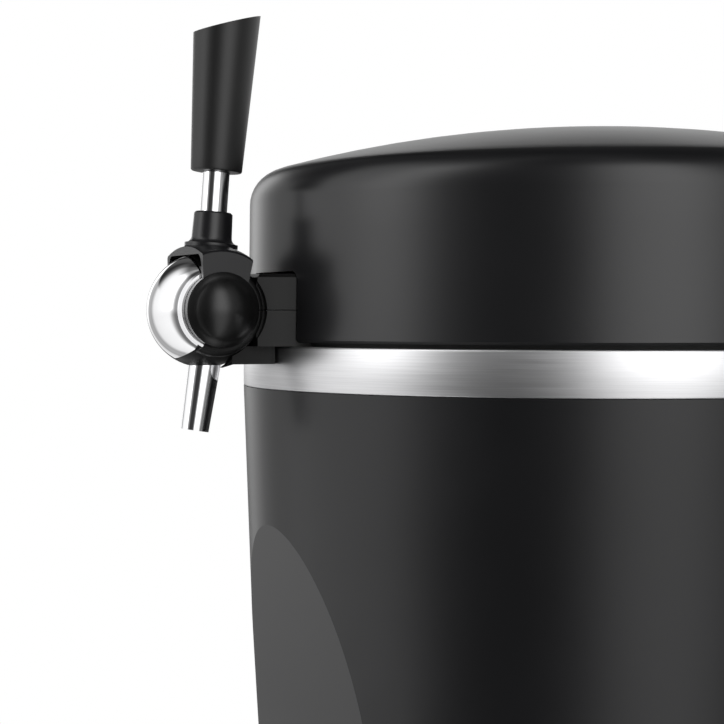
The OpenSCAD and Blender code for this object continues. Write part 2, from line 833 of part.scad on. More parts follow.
module control_board() {
    y0 = bay_y + partition_t + board_post_h;
    top = board_z + board_h / 2;
    color("#1f6b3a") at_axis() {
        block(board_w / 2, y0, y0 + board_t, board_z - board_h / 2, top);
        // relay, capacitors, chip and terminal block
        translate([-board_w / 3, 0, 0]) block(board_h / 6, y0 + board_t - skin, y0 + board_t * 9,
            board_z - board_h / 5, board_z + board_h / 5);
        for (i = [0 : 2]) translate([i * board_h / 4 - board_h / 8, y0 + board_t - skin,
            board_z + board_h / 6])
            rotate([-90, 0, 0]) cylinder(r = board_h / 12, h = board_t * 6, $fn = 32);
        translate([board_h / 8, 0, 0]) block(board_h / 6, y0 + board_t - skin, y0 + board_t * 2,
            board_z - board_h / 3, board_z - board_h / 8);
        translate([board_w / 3, 0, 0]) block(board_h / 8, y0 + board_t - skin, y0 + board_t * 6,
            board_z - board_h / 3, board_z + board_h / 3);
    }
}

module service_panel() {
    color("#1b1b1d") at_axis() difference() {
        intersection() {
            service_window(0);
            body_form(fit, 0, drum_top);
        }
        block(panel_width / 2 - service_t, service_y + service_t - over, drum_r + over,
            panel_low + service_t, panel_low + service_h - service_t);
        translate([-service_pitch / 2, 0, 0]) block(inlet_w / 2, 0, drum_r,
            service_z - inlet_h / 2, service_z + inlet_h / 2);
        translate([service_pitch / 2, 0, 0]) block(switch_w / 2, 0, drum_r,
            service_z - switch_h / 2, service_z + switch_h / 2);
    }
}

// Outline of the inlet's body, whose two upper corners are cut off
module inlet_outline(grow) {
    w = inlet_w / 2 + grow;
    h = inlet_h / 2 + grow;
    corner = inlet_h / 4;
    translate([0, service_z]) polygon([[-w, -h], [w, -h], [w, h - corner], [w - corner, h], [corner - w, h],
        [-w, h - corner]]);
}

module mains_inlet() {
    color("#161616") translate([-service_pitch / 2, axis_y, 0]) difference() {
        union() {
            along_y(service_face - inlet_depth, service_face + skin) inlet_outline(-fit);
            along_y(service_face, service_face + flange_t)
                translate([-inlet_w / 2 - inlet_flange, service_z - inlet_h / 2 - inlet_flange])
                    square([inlet_w + 2 * inlet_flange, inlet_h + 2 * inlet_flange]);
        }
        along_y(service_face - inlet_depth + inlet_wall, service_face + inlet_depth)
            inlet_outline(-fit - inlet_wall);
        inlet_places() cube([inlet_pin_w, inlet_depth, inlet_pin_h], center = true);
    }
}

module inlet_places() {
    for (i = [-1 : 1]) translate([i * inlet_pin_pitch, service_face - inlet_depth,
        service_z + (i == 0 ? inlet_pin_pitch / 4 : -inlet_pin_pitch / 4)])
        children();
}

module inlet_pins() {
    color("#d9d2b8") translate([-service_pitch / 2, axis_y, 0]) inlet_places()
        cube([inlet_pin_w, inlet_depth * 1.6, inlet_pin_h], center = true);
}

module switch_frame() {
    w = switch_w / 2 - fit;
    h = switch_h / 2 - fit;
    color("#161616") translate([service_pitch / 2, axis_y, 0]) difference() {
        union() {
            block(w, service_face - switch_depth, service_face + skin, service_z - h, service_z + h);
            block(w + switch_flange, service_face, service_face + flange_t,
                service_z - h - switch_flange, service_z + h + switch_flange);
        }
        block(w - switch_wall, service_face - switch_depth + switch_wall, service_face + switch_depth,
            service_z - h + switch_wall, service_z + h - switch_wall);
        translate([0, switch_axis_y, service_z]) roller(fan_shaft_r + run_clear, switch_w);
    }
}

// The rocker is drawn level and then tilted to its off position
module switch_rocker() {
    w = switch_w / 2 - fit - switch_wall - switch_clear;
    h = switch_h / 2 - fit - switch_wall - switch_clear * 3;
    deep = switch_depth / 4;
    dip = switch_depth / 12;
    color("#101010") translate([service_pitch / 2, axis_y + switch_axis_y, service_z])
        rotate([switch_tilt, 0, 0]) {
        along_x(w) polygon([[-deep, -h / 2], [0, -h], [dip * 3, -h], [dip * 2, 0], [dip * 3, h], [0, h],
            [-deep, h / 2]]);
        roller(fan_shaft_r, w + switch_clear + switch_wall);
    }
}

module rear_grille() {
    pitch = (vent_width - vent_w * 2) / vent_count;
    slot_h = vent_height - vent_w * 4;
    color("#1b1b1d") at_axis() difference() {
        union() {
            intersection() {
                grille_window(0);
                difference() {
                    body_form(fit, 0, drum_top);
                    body_form(shell_wall, 0, drum_top);
                }
            }
            intersection() {
                grille_window(vent_w);
                difference() {
                    body_form(shell_wall + fit / 2, 0, drum_top);
                    body_form(shell_wall * 1.6, 0, drum_top);
                }
            }
        }
        for (i = [0 : vent_count - 1]) translate([(i - (vent_count - 1) / 2) * pitch, 0, 0])
            for (part = [-1, 1]) block(vent_w / 2, 0, drum_r * 2,
                fan_up + part * slot_h / 4 - slot_h / 4 + vent_w / 2,
                fan_up + part * slot_h / 4 + slot_h / 4 - vent_w / 2);
    }
}

// Hinge at the back of the lid

module hinge_bracket() {
    web = knuckle_r * 0.6;
    plate_top = band_low - fit;
    plate_low = plate_top - bracket_h;
    half = knuckle_mid / 2 + knuckle_side + fit;
    color("#1b1b1d") at_axis() difference() {
        union() {
            difference() {
                block(half, drum_r * 0.9, hinge_y, plate_low, plate_top);
                body_form(-fit / 2, 0, drum_top);
                translate([0, hinge_y + web, plate_low - over]) roller(web, half * 2);
            }
            for (side = [-1, 1]) translate([side * (half - knuckle_side / 2), 0, 0]) {
                block(knuckle_side / 2, hinge_y - web, hinge_y + web / 2, plate_top - bracket_h / 3,
                    hinge_z);
                translate([0, hinge_y, hinge_z]) roller(knuckle_r, knuckle_side / 2);
            }
        }
        translate([0, hinge_y, hinge_z]) roller(hinge_pin_r, half * 2);
    }
}

module hinge_pin() {
    color("#a9adb0") at_hinge() roller(hinge_pin_r, knuckle_mid / 2 + knuckle_side + fit * 2);
}

module lid_hinge_leaf() {
    half = knuckle_mid / 2;
    leaf_low = lid_low + lid_chamfer * 2;
    color("#1b1b1d") at_axis() difference() {
        union() {
            block(half, drum_r * 0.9, hinge_y - knuckle_r / 3, leaf_low, leaf_low + leaf_h);
            block(half, hinge_y - knuckle_r * 0.8, hinge_y, hinge_z, leaf_low + knuckle_r);
            translate([0, hinge_y, hinge_z]) roller(knuckle_r, half);
        }
        lid_form(-fit / 2, lid_low - over);
        translate([0, hinge_y, hinge_z]) roller(hinge_pin_r + run_clear, half * 2);
    }
}

// Lid

// The lid's outer form, moved inwards by inset, from height z0 up
module lid_form(inset, z0) {
    rotate_extrude() polygon(concat(
        [[0, z0], [lid_r - inset, z0]],
        arc([shoulder_r, shoulder_z], lid_shoulder - inset, 0, shoulder_turn),
        [for (i = [1 : curve_n]) let (a = shoulder_turn + (90 - shoulder_turn) * i / curve_n)
            [(dome_radius - inset) * cos(a), dome_z + (dome_radius - inset) * sin(a)]]));
}

// Outline of the cut-out for the arm in X and Z, open at its lower end
module slot_outline(grow) {
    half = slot_half + grow;
    top = slot_top + grow;
    corner = slot_corner + grow;
    polygon(concat([[-half, drum_top - lid_gap * 4], [half, drum_top - lid_gap * 4]],
        arc([half - corner, top - corner], corner, 0, 90, 6),
            arc([corner - half, top - corner], corner, 90, 180, 6)));
}

module slot_form(grow) {
    along_y(-drum_r - over, -shoulder_r + lid_shoulder * 2) slot_outline(grow);
}

module lid_shell() {
    color("#232325") at_axis() difference() {
        lid_form(0, lid_low);
        lid_form(lid_wall, lid_low - over);
        rotate_extrude() polygon([[lid_r - lid_chamfer, lid_low - skin],
            [lid_r + lid_chamfer, lid_low - skin],
            [lid_r + lid_chamfer, lid_low + lid_chamfer * 2]]);
        slot_form(0);
    }
}

module lid_foam() {
    color("#e6e2d2") at_axis() difference() {
        lid_form(foam_in, liner_low + lid_chamfer * 2);
        lid_form(foam_in + lid_foam_t, lid_low - over);
        slot_form(fit);
    }
}

module lid_liner() {
    flange_z = liner_low + lid_chamfer * 2 - fit;
    color("#cfd1d2") at_axis() difference() {
        union() {
            lid_form(liner_in, liner_low);
            translate([0, 0, liner_low]) cylinder(r = lid_top_r - lid_wall - fit, h = flange_z - liner_low);
        }
        lid_form(liner_in + liner_wall, liner_low - over);
        slot_form(fit);
    }
}

module lid_seal() {
    outer = lid_top_r - lid_wall - fit - seal_w / 2;
    color("#2a2a2a") at_axis() difference() {
        translate([0, 0, deck_top + fit]) tube(outer, outer - seal_w, liner_low - deck_top - fit);
        slot_form(fit);
    }
}

// Tap head and arm, about the lever's pivot

// A solid of revolution about X that is alike on both sides, from its points (radius, X) with X above 0
module spindle(side) {
    rotate([0, 90, 0]) rotate_extrude()
        polygon(concat(side, [for (i = [len(side) - 1 : -1 : 0]) [side[i][0], -side[i][1]]]));
}

// Ball between two necks of the given radius, each with a ring on its end
module head_form(neck) {
    round = neck - lip_out;
    spindle(concat([[0, head_half], [lip_out - lip_w, head_half], [lip_out - lip_w, lip_top],
        [lip_out, lip_top]],
        round > 0 ? arc([neck - round, head_half - round], round, 90, 0, 5) : [],
        arc([0, 0], head_r, acos(neck / head_r), 0, 10)));
}

// Groove between the neck and the arm
module neck_groove() {
    for (side = [0, 1]) mirror([side, 0, 0]) rotate([0, 90, 0])
        translate([0, 0, head_half - groove_t * 2]) cylinder(r = neck_r + groove_t, h = head_half);
}

// The arm's outline from above, moved inwards by inset
module arm_outline(inset) {
    polygon(concat([[inset - arm_half, arm_start + inset], [arm_half - inset, arm_start + inset],
        [arm_root - inset, arm_lid_y]],
        arc([0, arm_end_y], arm_root - inset, 0, 180, 16),
        [[inset - arm_root, arm_lid_y]]));
}

module head_cavity() {
    spindle(concat([[0, cavity_half], [neck_in, cavity_half]],
        arc([0, 0], head_r - tap_wall, acos(neck_in / (head_r - tap_wall)), 0, 6)));
}

module channel_cavity() {
    translate([0, 0, -tap_wall * 2]) linear_extrude(tap_wall * 4)
        intersection() {
            arm_outline(tap_wall);
            translate([-tube_r * 2, 0]) square([tube_r * 4, arm_end_y]);
        }
}

// Direction of the spout, with plus Z pointing down along it
module at_spout() {
    translate([0, spout_back, 0]) rotate([-spout_lean, 0, 0]) mirror([0, 0, 1]) children();
}

module coupler_space() {
    translate([0, arm_end_y, -arm_down - over]) cylinder(r = coupler_r + screw_gap,
        h = arm_down + arm_up - tap_wall + over);
}

module tap_front_shell() {
    color("#e4e6e8") at_pivot() difference() {
        intersection() {
            head_form(lip_out);
            along_x(head_r) polygon([[-head_r - over, head_r + over], [-chrome_front, head_r + over],
                [-chrome_front, -chrome_low], [-head_r - over, chrome_foot]]);
        }
        head_cavity();
        at_spout() cylinder(r = spout_d / 2 + fit, h = spout_reach);
    }
}

module tap_upper_shell() {
    color("#1b1b1d") at_pivot() difference() {
        union() {
            intersection() {
                head_form(neck_r);
                block(head_r, parting - chrome_front, head_r + over, parting / 2, head_r + over);
            }
            difference() {
                hull() {
                    translate([0, 0, parting / 2]) linear_extrude(arm_up - arm_bevel - parting / 2)
                        arm_outline(0);
                    translate([0, 0, parting]) linear_extrude(arm_up - parting) arm_outline(arm_bevel);
                }
                neck_groove();
            }
        }
        head_cavity();
        channel_cavity();
        coupler_space();
        roller(journal_r + run_clear, head_r);
        arm_screw_places() translate([0, 0, -over])
            cylinder(r = screw_r + screw_gap, h = arm_up + 2 * over);
        arm_screw_places() translate([0, 0, arm_up - screw_head_h])
            cylinder(r = screw_head_r + screw_gap, h = arm_up);
    }
}

module tap_lower_shell() {
    drop = parting / cos(chrome_slant);
    color("#1b1b1d") at_pivot() difference() {
        union() {
            intersection() {
                head_form(neck_r);
                along_x(head_r) polygon([[parting - chrome_front, -parting / 2],
                    [head_r + over, -parting / 2],
                    [head_r + over, -head_r - over], [-head_r - over, -head_r - over],
                    [-head_r - over, chrome_foot - drop],
                    [parting - chrome_front, parting * tan(chrome_slant) - chrome_low - drop]]);
            }
            difference() {
                translate([0, 0, -arm_down]) linear_extrude(arm_down - parting / 2) arm_outline(0);
                neck_groove();
            }
        }
        head_cavity();
        channel_cavity();
        coupler_space();
        roller(journal_r + run_clear, head_r);
        at_spout() cylinder(r = spout_d / 2 + fit, h = spout_reach);
        arm_screw_places() translate([0, 0, -arm_down + tap_wall])
            cylinder(r = screw_r - skin, h = arm_down);
        support_join(screw_gap);
    }
}

// Tongue of the support that sits in the arm's lower shell
module support_join(grow) {
    half = support_half * 0.7 + grow;
    block(half, arm_start + tap_wall * 2 - grow, support_back - tap_wall, -arm_down - over,
        -arm_down + tap_wall + grow);
}

module tap_support() {
    low = -arm_down - support_h;
    color("#1b1b1d") at_pivot() {
        intersection() {
            block(support_half, support_front, support_back, low, -arm_down - skin);
            difference() {
                block(support_half, 0, tap_out + drum_r, low, 0);
                sphere(r = head_r + fit);
                translate([0, tap_out + drum_r, low - over]) cylinder(r = drum_r + fit, h = head_r);
            }
        }
        block(support_half * 0.7, arm_start + tap_wall * 2, support_back - tap_wall, -arm_down - skin * 2,
            -arm_down + tap_wall);
        along_x(support_half * 0.13) polygon([[support_front * 0.94, low - support_h * 0.22],
            [support_front * 1.7, low],
            [support_front * 1.7, low + support_h * 0.12], [support_front * 1.3, low + support_h * 0.04]]);
    }
}

module arm_screw_places() {
    span = arm_end_y - arm_lid_y;
    for (side = [-1, 1], share = [0.25, 0.68])
        translate([side * (arm_root - tap_wall - screw_head_r - tube_r / 2), arm_lid_y + span * share, 0])
            children();
}

module arm_screws() {
    color("#8c8f92") at_pivot() arm_screw_places() {
        translate([0, 0, arm_up - screw_head_h]) cylinder(r = screw_head_r, h = screw_head_h, $fn = 48);
        translate([0, 0, -arm_down + tap_wall * 2])
            cylinder(r = screw_r - skin, h = arm_down + arm_up - tap_wall * 3, $fn = 48);
    }
}

// Valve, spout and beer line

module valve_body() {
    stub_h = head_r - tap_wall / 2;
    color("#d6d4cc") at_pivot() difference() {
        union() {
            roller(valve_r, cavity_half - skin);
            at_spout() cylinder(r = spout_d / 2 + tap_wall, h = head_r - tap_wall * 2.4);
            translate([0, valve_r * 0.8, 0]) rotate([-90, 0, 0])
                cylinder(r = tube_r + tap_wall / 2, h = head_r - tap_wall * 1.4 - valve_r * 0.8);
        }
        roller(plug_r + run_clear, plug_half + run_clear);
        roller(journal_r + run_clear, head_r);
        at_spout() cylinder(r = channel_r, h = stub_h);
        at_spout() translate([0, 0, plug_r + tap_wall * 1.4]) cylinder(r = spout_d / 2 + skin, h = stub_h);
        rotate([-90, 0, 0]) cylinder(r = channel_r, h = stub_h);
        rotate([-90, 0, 0]) translate([0, 0, plug_r + tap_wall]) cylinder(r = tube_r + skin, h = stub_h);
    }
}

// The plug has an L-shaped channel that meets the inlet and the spout when the lever is pulled
module valve_plug() {
    seal_at = plug_half - o_ring * 3;
    color("#e9e7df") at_pivot() difference() {
        spindle([[0, journal_half], [journal_r, journal_half], [journal_r, plug_half], [plug_r, plug_half],
            [plug_r, seal_at + o_ring], [plug_r - o_ring, seal_at + o_ring],
                [plug_r - o_ring, seal_at - o_ring],
            [plug_r, seal_at - o_ring]]);
        rotate([-open_angle, 0, 0]) {
            at_spout_centre() cylinder(r = channel_r, h = plug_r + over);
            rotate([-90, 0, 0]) cylinder(r = channel_r, h = plug_r + over);
            sphere(r = channel_r * 1.7);
        }
    }
}

// Direction of the spout through the pivot's own centre
module at_spout_centre() {
    turn = spout_lean - asin(spout_back / plug_r);
    rotate([-turn, 0, 0]) mirror([0, 0, 1]) children();
}

module plug_seals() {
    seal_at = plug_half - o_ring * 3;
    color("#333333") at_pivot() for (side = [-1, 1]) rotate([0, 90, 0])
        translate([0, 0, side * seal_at - o_ring * 0.9]) tube(plug_r, plug_r - o_ring, o_ring * 1.8);
}

module spout() {
    start = plug_r + tap_wall * 1.6;
    color("#e4e6e8") at_pivot() at_spout() difference() {
        union() {
            translate([0, 0, start]) cylinder(r = spout_d / 2, h = head_r - start);
            translate([0, 0, head_r]) cylinder(r1 = spout_d / 2, r2 = spout_end_d / 2,
                h = spout_reach - head_r);
        }
        translate([0, 0, start - over]) cylinder(r = spout_bore / 2, h = spout_reach);
    }
}

module spout_seal() {
    color("#333333") at_pivot() at_spout() translate([0, 0, head_r - tap_wall * 1.5])
        tube(spout_d / 2 + fit - skin, spout_d / 2, o_ring * 1.8);
}

module beer_tube() {
    start = plug_r + tap_wall + fit / 2;
    color("#d8e4e6") at_pivot() translate([0, start, 0]) rotate([-90, 0, 0])
        tube(tube_r, tube_bore, arm_end_y - coupler_r - start + tube_r - skin);
}

module keg_coupler() {
    low = -arm_down - keg_head + fit;
    color("#e0dfda") at_pivot() translate([0, arm_end_y, 0]) difference() {
        union() {
            translate([0, 0, low]) cylinder(r = coupler_r, h = arm_up - tap_wall - fit - low);
            translate([0, 0, low - coupler_nozzle_h])
                cylinder(r = coupler_nozzle_r, h = coupler_nozzle_h + over);
        }
        translate([0, 0, low - coupler_nozzle_h - over])
            cylinder(r = channel_r, h = coupler_nozzle_h - low + over);
        translate([0, -coupler_r + tube_r - skin, 0]) rotate([90, 0, 0])
            cylinder(r = tube_r + skin, h = coupler_r);
        rotate([90, 0, 0]) cylinder(r = channel_r - skin, h = coupler_r);
    }
}

module coupler_seal() {
    low = -arm_down - keg_head + fit;
    color("#333333") at_pivot() translate([0, arm_end_y, low - coupler_nozzle_h / 2])
        tube(coupler_nozzle_r + o_ring, coupler_nozzle_r, o_ring * 2);
}

// Lever

// Side view of the yoke: a strap that leans back a little, and the hub round the journal
module yoke_outline(grow) {
    front_top = -hood_out * 0.31 - grow;
    back_top = hood_out * 0.51 + stem_back + grow;
    intersection() {
        circle(r = hood_out);
        union() {
            polygon([[front_top, hood_out + over], [-hub_r * 0.9 - grow, 0], [hub_r * 0.95 + grow, 0],
                [back_top, hood_out + over]]);
            circle(r = hub_r + grow);
        }
    }
}

// The hood's outer form, lower at its sides than in its middle
module hood_form() {
    edge = plate_t / 3;
    spindle(concat([[0, plate_out], [hood_out - hood_crown - edge, plate_out]],
        [for (i = [0 : 8]) let (share = 1 - i / 8)
            [hood_out - hood_crown * pow(share, 2), (plate_out - edge) * share]]));
}

module hood_hollow() {
    spindle(concat([[0, plate_in]], arc([hood_in - hood_round, plate_in - hood_round], hood_round, 90, 0,
        6),
        [[hood_in, 0]]));
}

module at_stem() {
    translate([0, stem_back, 0]) rotate([-stem_lean, 0, 0]) children();
}

module lever_yoke() {
    skirt = collar_d * 0.17;
    base = hood_in + hood_t / 2;
    color("#e4e6e8") at_pivot() difference() {
        union() {
            intersection() {
                along_x(plate_out) yoke_outline(0);
                hood_form();
            }
            at_stem() rotate_extrude() polygon(concat(
                [[0, base], [collar_d / 2 + skirt + collar_d * 0.02, base]],
                arc([collar_d / 2 + skirt + collar_d * 0.02, hood_out + skirt], skirt, -90, -180, 5),
                [[collar_d / 2, collar_top - skirt / 4], [collar_d / 2 - skirt / 4, collar_top],
                    [0, collar_top]]));
        }
        hood_hollow();
        roller(journal_r, plate_out + over);
        at_stem() translate([0, 0, hood_out]) cylinder(r = stem_d / 2, h = collar_top);
    }
}

module lever_stem() {
    color("#e4e6e8") at_pivot() at_stem() translate([0, 0, hood_out])
        cylinder(r = stem_d / 2, h = handle_low + handle_h * socket_share - hood_out);
}

// The handle is moulded as a cone that flares upwards, and its top is cut off on a slope
module lever_handle() {
    top = handle_h + handle_top_r;
    flare = (handle_top_r - handle_r) / handle_h;
    color("#1b1b1d") at_pivot() at_stem() translate([0, 0, handle_low]) difference() {
        rotate_extrude() polygon(concat([[0, 0]], arc([handle_r - handle_round, handle_round],
            handle_round, -90, 0, 4),
            [[handle_r + flare * top, top], [0, top]]));
        translate([0, 0, handle_h]) rotate([handle_slope, 0, 0]) translate([-top, -top, 0]) cube(2 * top);
        translate([0, 0, -over]) cylinder(r = stem_d / 2, h = handle_h * socket_share + over);
    }
}

module side_caps() {
    edge = cap_bulge / 5;
    bow = cap_bulge - edge;
    arc_r = (pow(cap_r - edge, 2) + bow * bow) / (2 * bow);
    turn = asin((cap_r - edge) / arc_r);
    rim = head_half + yoke_clear / 2;
    color("#111112") at_pivot() for (side = [0, 1]) mirror([side, 0, 0]) difference() {
        rotate([0, 90, 0]) rotate_extrude() polygon(concat(
            [[0, rim], [cap_r, rim], [cap_r, plate_out + edge / 2], [cap_r - edge / 2, plate_out + edge]],
            [for (i = [1 : curve_n]) let (a = turn * (1 - i / curve_n))
                [arc_r * sin(a), plate_out + cap_bulge - arc_r + arc_r * cos(a)]]));
        roller(cap_r - edge * 2, plate_out);
        along_x(plate_out) yoke_outline(screw_gap);
        roller(journal_r, journal_half + skin);
    }
}

outer_shell();
trim_band();
base_plate();
feet();
base_screws();
drip_tray();
drip_grille();
keg_chamber();
keg_pad();
chamber_rim();
chamber_foam();
rear_partition();
cold_block();
cooling_module();
heat_sink();
fan_frame();
fan_rotor();
fan_screws();
power_supply();
control_board();
service_panel();
mains_inlet();
inlet_pins();
switch_frame();
switch_rocker();
rear_grille();
hinge_bracket();
hinge_pin();
lid_hinge_leaf();
lid_shell();
lid_foam();
lid_liner();
lid_seal();
tap_front_shell();
tap_upper_shell();
tap_lower_shell();
tap_support();
valve_body();
valve_plug();
plug_seals();
spout();
spout_seal();
beer_tube();
keg_coupler();
coupler_seal();
arm_screws();
lever_yoke();
lever_stem();
lever_handle();
side_caps();
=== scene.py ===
import math

import bpy
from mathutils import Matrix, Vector


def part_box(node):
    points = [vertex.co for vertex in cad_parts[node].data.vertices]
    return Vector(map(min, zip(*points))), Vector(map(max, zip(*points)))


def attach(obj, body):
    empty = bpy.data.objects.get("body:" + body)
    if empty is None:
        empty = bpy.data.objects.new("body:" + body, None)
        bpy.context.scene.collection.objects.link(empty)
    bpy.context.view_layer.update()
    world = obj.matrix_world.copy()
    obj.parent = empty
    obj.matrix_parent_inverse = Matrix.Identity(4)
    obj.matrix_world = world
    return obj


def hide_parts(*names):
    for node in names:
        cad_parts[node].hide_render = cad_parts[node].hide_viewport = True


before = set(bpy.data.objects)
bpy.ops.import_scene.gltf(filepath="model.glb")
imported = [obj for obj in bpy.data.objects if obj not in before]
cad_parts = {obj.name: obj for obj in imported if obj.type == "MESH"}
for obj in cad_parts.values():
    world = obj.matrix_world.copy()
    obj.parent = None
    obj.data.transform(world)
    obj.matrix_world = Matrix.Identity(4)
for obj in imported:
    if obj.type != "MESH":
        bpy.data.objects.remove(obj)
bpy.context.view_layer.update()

# Studio: a pale table in a white room, seen by a long lens from the drum's right front.
# The drum's axis, its trim band and the eye height give the camera its place.
band_low, band_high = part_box("trim_band")
drum_axis = Vector((0, (band_low.y + band_high.y) / 2, 0))
eye_distance = 0.776
eye_height = 0.2844
eye_turn = math.radians(60)
aim_left = math.radians(6.81)
aim_down = math.radians(1.50)
lens_mm = 94.0

camera = bpy.data.objects.new("camera", bpy.data.cameras.new("camera"))
camera.location = drum_axis + Vector((math.sin(eye_turn), -math.cos(eye_turn), 0)) * eye_distance
camera.location.z = eye_height
camera.rotation_euler = (math.pi / 2 - aim_down, 0, eye_turn + aim_left)
camera.data.lens = lens_mm
camera.data.sensor_width = 36.0
camera.data.clip_start = 0.02
camera.data.clip_end = 60.0
bpy.context.scene.collection.objects.link(camera)
bpy.context.scene.camera = camera
bpy.context.scene.view_settings.view_transform = "Standard"


class Link:
    """A socket of a node tree. Python's operators on it add the Math nodes."""

    def __init__(self, tree, socket=None):
        self.tree = tree
        self.socket = socket

    def add(self, kind, settings=None, inputs=None, out=0):
        made = self.tree.nodes.new(kind)
        for name, value in (settings or {}).items():
            if name == "stops":
                ramp = made.color_ramp
                while len(ramp.elements) < len(value):
                    ramp.elements.new(0.5)
                for stop, (place, colour) in zip(ramp.elements, value):
                    stop.position = place
                    stop.color = colour if len(colour) == 4 else (*colour, 1)
            else:
                setattr(made, name, value)
        for name, value in (inputs or {}).items():
            if isinstance(value, Link):
                self.tree.links.new(value.socket, made.inputs[name])
            elif isinstance(value, list) and isinstance(value[0], Link):
                for one in value:
                    self.tree.links.new(one.socket, made.inputs[name])
            else:
                made.inputs[name].default_value = value
        return Link(self.tree, made.outputs[out] if made.outputs else None)

    def maths(self, operation, *values):
        return self.add("ShaderNodeMath", {"operation": operation}, dict(enumerate(values)))

    def __add__(self, other):
        return self.maths("ADD", self, other)

    def __sub__(self, other):
        return self.maths("SUBTRACT", self, other)

    def __rsub__(self, other):
        return self.maths("SUBTRACT", other, self)

    def __mul__(self, other):
        return self.maths("MULTIPLY", self, other)

    def __truediv__(self, other):
        return self.maths("DIVIDE", self, other)

    def ramp(self, low, high):
        """0 below low, 1 above high and a smooth step between."""
        return self.add("ShaderNodeMapRange", {"interpolation_type": "SMOOTHSTEP"},
                        {"Value": self, "From Min": low, "From Max": high})

    def mix(self, first, second):
        """Colour first where this is 0 and second where it is 1."""
        return self.add("ShaderNodeMix", {"data_type": "RGBA"}, {0: self, 6: first, 7: second}, out=2)

    __radd__ = __add__
    __rmul__ = __mul__


# The room's light: a tall white softbox to the left of the camera and a brighter panel to its right,
# with a dark gap between them that runs down the lid and the band. A thin dark slot behind the
# object outlines the chrome. The ceiling is dim. The camera itself sees plain white.
world = bpy.data.worlds.new("studio")
bpy.context.scene.world = world
world.use_nodes = True
world.node_tree.nodes.clear()
sky = Link(world.node_tree)
ray = sky.add("ShaderNodeTexCoord", out=0)
split = sky.add("ShaderNodeSeparateXYZ", inputs={"Vector": ray})
ray_x, ray_y, ray_z = (Link(sky.tree, split.socket.node.outputs[i]) for i in range(3))
turn = sky.maths("ARCTAN2", ray_y, ray_x) / math.tau + 0.5
height = sky.maths("ARCSINE", ray_z) * (180 / math.pi)
brightest = 2.8
softbox_level = 1.3
ceiling_dimming = 0.85
rear_ceiling_dimming = 0.95
floor_dimming = 0.5
left_floor_relief = 0.8
wall_levels = [(-180, 1.8), (-172, 1.5), (-166, 0.55), (-150, 0.45), (-139, 1.0), (-124, 1.1), (-90, 1.2),
               (-79, 0.4), (-64, 0.04), (-36, 0.05), (-29, 0.6), (-20, 2.2), (2, 2.8), (14, 1.6), (24, 0.35),
               (50, 0.5), (80, 1.1), (125, 1.0), (165, 1.0), (168, 0.05), (174, 0.05), (177, 1.8)]


def bearing(degrees):
    """A direction round the room as the ramps take it. 0 degrees is +X and 90 degrees is +Y."""
    return (degrees + 180) / 360


walls = sky.add("ShaderNodeValToRGB", {"stops": [(bearing(b), (v / brightest,) * 3) for b, v in wall_levels]},
                {"Fac": turn}) * brightest
softbox_left = turn.ramp(bearing(-116), bearing(-100))
softbox_right = turn.ramp(bearing(-92), bearing(-79))
softbox = softbox_left * (1 - softbox_right) * height.ramp(-3.0, 6.0)
behind = (ray_y - ray_x).ramp(-0.2, 0.5)
ceiling = height.ramp(50.0, 70.0)
ceiling_behind = behind * height.ramp(20.0, 25.0)
left_side = turn.ramp(bearing(-176), bearing(-156)) * (1 - turn.ramp(bearing(-96), bearing(-80)))
below = (1 - height.ramp(-9.0, 3.0)) * (1 - left_floor_relief * left_side)
light = walls + softbox_level * softbox
light = light * (1 - ceiling_dimming * ceiling) * (1 - rear_ceiling_dimming * ceiling_behind)
light = light * (1 - floor_dimming * below)
seen = sky.add("ShaderNodeLightPath", out=0)
level = seen + (1 - seen) * light
background = sky.add("ShaderNodeBackground", inputs={"Color": (1, 1, 1, 1), "Strength": level})
sky.add("ShaderNodeOutputWorld", inputs={"Surface": background})

# The table's top is matt white. Past the object's shadow it fades into plain white for the camera.
# It can be looked through from below, so that the feet and the base can be seen.
table_mesh = bpy.data.meshes.new("table_top")
table_half = 6.0
shadow_end, white_from = 0.22, 0.55
whiteness_near = 0.62
corners = [(x * table_half, y * table_half, 0) for x, y in ((-1, -1), (1, -1), (1, 1), (-1, 1))]
table_mesh.from_pydata(corners, [], [(0, 1, 2, 3)])
table_top = bpy.data.objects.new("table_top", table_mesh)
bpy.context.scene.collection.objects.link(table_top)
table_paint = bpy.data.materials.new("table_paint")
table_paint.use_nodes = True
table_paint.node_tree.nodes.clear()
paint = Link(table_paint.node_tree)
place = paint.add("ShaderNodeTexCoord", out=3)
apart = paint.add("ShaderNodeVectorMath", {"operation": "LENGTH"}, {0: place}, out=1)
camera_ray = paint.add("ShaderNodeLightPath", out=0)
mirrored = paint.add("ShaderNodeLightPath", out=3)
matt = paint.add("ShaderNodeBsdfDiffuse", inputs={"Color": (0.86, 0.86, 0.86, 1)})
plain = paint.add("ShaderNodeEmission", inputs={"Color": (1, 1, 1, 1), "Strength": 1.0})
clear = paint.add("ShaderNodeBsdfTransparent")
from_below = paint.add("ShaderNodeNewGeometry", out=6)
hidden = mirrored.maths("MAXIMUM", mirrored, from_below)
whiteness = camera_ray * (whiteness_near + (1 - whiteness_near) * apart.ramp(shadow_end, white_from))
table_shader = paint.add("ShaderNodeMixShader", inputs={0: whiteness, 1: matt, 2: plain})
table_shader = paint.add("ShaderNodeMixShader", inputs={0: hidden, 1: table_shader, 2: clear})
paint.add("ShaderNodeOutputMaterial", inputs={"Surface": table_shader})
table_top.data.materials.append(table_paint)


